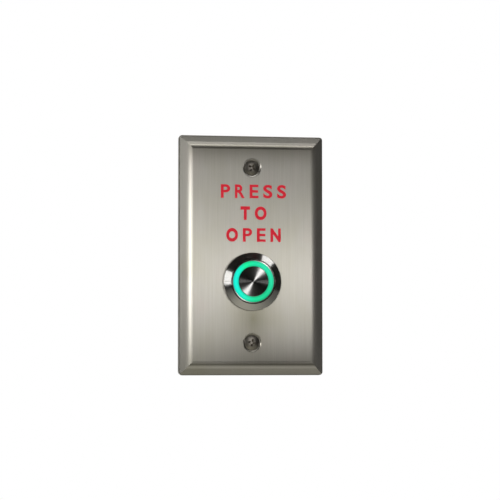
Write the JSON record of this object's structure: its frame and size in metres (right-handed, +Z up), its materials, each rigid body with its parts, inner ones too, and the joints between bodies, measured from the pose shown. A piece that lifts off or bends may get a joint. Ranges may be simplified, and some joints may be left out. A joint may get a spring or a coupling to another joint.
{
  "type": "illuminated exit button",
  "caption": "Stainless single-gang wall plate with bevelled edges and a round push button lit by a green ring, which springs back after a press.",
  "frame": {"origin": "middle of the cover plate, in the plane of the wall, at the rear edge of the plate's rim", "axes": "+Z up along the plate's height, +Y into the wall, +X to the right seen from the room"},
  "size_m": [0.0698, 0.0408, 0.1142],
  "materials": {
    "brushed_plate": "vertical brushed stainless sheet",
    "screw_steel": "plain turned and plated steel",
    "turned_steel": "fine turned stainless steel",
    "nickel_brass": "nickel plated brass",
    "spring_steel": "drawn stainless wire",
    "black_rubber": "matt black rubber",
    "ring_plastic": "clear polycarbonate lit green from behind",
    "white_plastic": "natural acetal",
    "black_plastic": "black glass-filled nylon",
    "board": "green solder mask on glass-fibre board",
    "lamp_body": "white lamp package with a clear lens",
    "resistor_body": "black chip with tinned ends",
    "contact_copper": "silver-flashed brass strip"
  },
  "bodies": {
    "station": {"face_plate": "brushed_plate", "upper_screw": "screw_steel", "lower_screw": "screw_steel", "switch_housing": "turned_steel", "head_gasket": "black_rubber", "panel_nut": "nickel_brass", "wiper_seal": "black_rubber", "return_spring": "spring_steel", "led_board": "board", "resistor": "resistor_body", "terminal_base": "black_plastic", "contact_spring": "spring_steel", "common_terminal": "contact_copper", "normally_open_terminal": "contact_copper", "normally_closed_terminal": "contact_copper", "lamp_plus_terminal": "contact_copper", "lamp_minus_terminal": "contact_copper", "led_1": "lamp_body", "led_2": "lamp_body", "led_3": "lamp_body", "led_4": "lamp_body", "led_5": "lamp_body", "led_6": "lamp_body"},
    "button": {"push_cap": "turned_steel", "light_ring": "ring_plastic", "button_sleeve": "turned_steel", "plunger": "white_plastic", "retaining_ring": "spring_steel", "moving_contact": "contact_copper"}
  },
  "joints": [
    {"name": "press", "type": "slide", "parent": "station", "child": "button", "axis": [0, 1, 0], "range_m": [0, 0.0022], "stiffness_N_per_m": 700, "springref_m": -0.004, "deforming": ["return_spring", "contact_spring"]}
  ]
}
